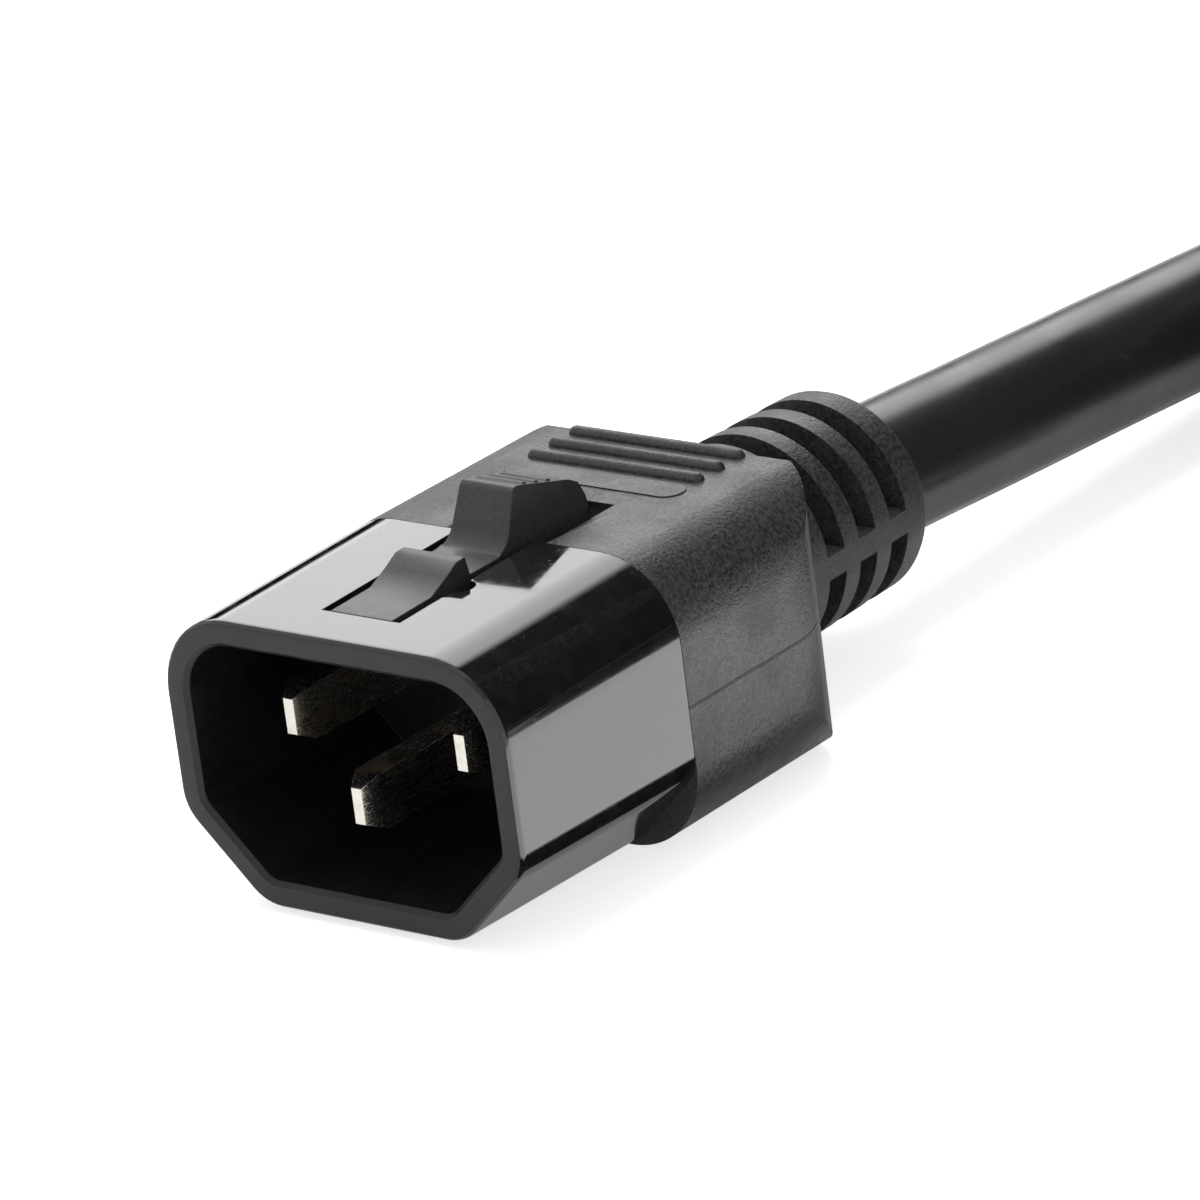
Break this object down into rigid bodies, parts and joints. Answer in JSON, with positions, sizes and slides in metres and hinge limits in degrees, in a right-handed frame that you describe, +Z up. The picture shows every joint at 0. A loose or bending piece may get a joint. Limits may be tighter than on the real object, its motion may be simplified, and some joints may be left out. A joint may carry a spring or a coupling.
{
  "type": "locking c14 power plug on a cord",
  "caption": "Three-pin appliance-type power plug with a hollow rounded shroud, a sprung top latch, a moulded grip and a slotted strain relief, on a coiled cord that ends in a mating connector.",
  "frame": {"origin": "centre of the plug's flat underside, below the middle of the plug's length", "axes": "+Z up, -Y out of the plug's opening, +Y along the cord as it leaves the plug"},
  "size_m": [0.1345, 0.1864, 0.023],
  "materials": {
    "shroud_plastic": "glossy black moulding",
    "latch_plastic": "satin black moulding",
    "grip_plastic": "fine-grained black overmoulding",
    "nose_plastic": "satin black moulding",
    "inner_plastic": "hidden inner moulding",
    "blade_metal": "nickel-plated brass",
    "copper": "bare stranded copper",
    "core_black": "insulation",
    "core_white": "insulation",
    "core_green": "insulation",
    "cord_jacket": "smooth satin black jacket",
    "strap_fabric": "hook-and-loop tape"
  },
  "bodies": {
    "plug": {"shroud": "shroud_plastic", "grip": "grip_plastic", "blade_line": "blade_metal", "blade_neutral": "blade_metal", "blade_earth": "blade_metal", "wire_line": "copper", "wire_neutral": "copper", "wire_earth": "copper", "core_line": "core_black", "core_neutral": "core_white", "core_earth": "core_green", "inner_mould": "inner_plastic", "jacket_end": "cord_jacket", "cord_lead": "cord_jacket", "cord_coil": "cord_jacket", "cord_tail": "cord_jacket", "coil_strap_left": "strap_fabric", "coil_strap_right": "strap_fabric", "connector_nose": "nose_plastic", "contact_line": "blade_metal", "contact_neutral": "blade_metal", "contact_earth": "blade_metal", "connector_grip": "grip_plastic", "connector_inner_mould": "inner_plastic", "connector_jacket_end": "cord_jacket", "connector_wire_line": "copper", "connector_wire_neutral": "copper", "connector_wire_earth": "copper", "connector_core_line": "core_black", "connector_core_neutral": "core_white", "connector_core_earth": "core_green"},
    "latch": {"latch": "latch_plastic"}
  },
  "joints": [
    {"name": "latch_press", "type": "hinge", "parent": "plug", "child": "latch", "pos_m": [0, -0.0221, 0.01837], "axis": [-1, 0, 0], "range_deg": [0, 8.5], "stiffness_Nm_per_rad": 0.3}
  ]
}
